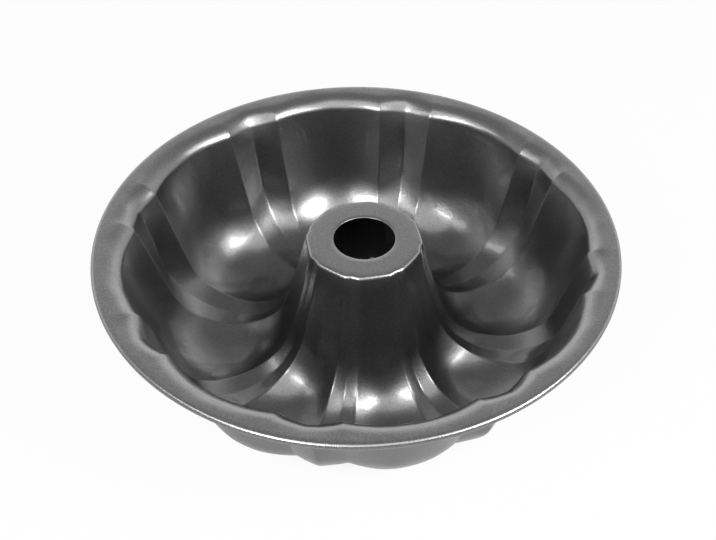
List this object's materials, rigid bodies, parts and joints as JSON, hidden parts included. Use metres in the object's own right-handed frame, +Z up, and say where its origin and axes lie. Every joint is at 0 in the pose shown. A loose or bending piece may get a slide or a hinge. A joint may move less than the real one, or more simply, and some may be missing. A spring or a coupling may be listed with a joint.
{
  "type": "fluted tube cake pan",
  "caption": "Round non-stick cake pan with a hollow tapered tube, rounded lobes parted by V-shaped flutes, and a flat flange with a rolled edge.",
  "frame": {"origin": "on the pan's axis, level with the feet that it stands on", "axes": "+Z up along the tube's axis, out of the open side; +X along the bottom of one of the V-shaped flutes, so the pattern is the same about X and Y"},
  "size_m": [0.25, 0.25, 0.0702],
  "materials": {
    "non_stick": "dark grey metallic non-stick coating with a fine grain, satin",
    "steel_wire": "plain drawn steel wire, hidden inside the rolled edge"
  },
  "bodies": {
    "root": {"pan_shell": "non_stick", "rim_wire": "steel_wire"}
  },
  "joints": []
}
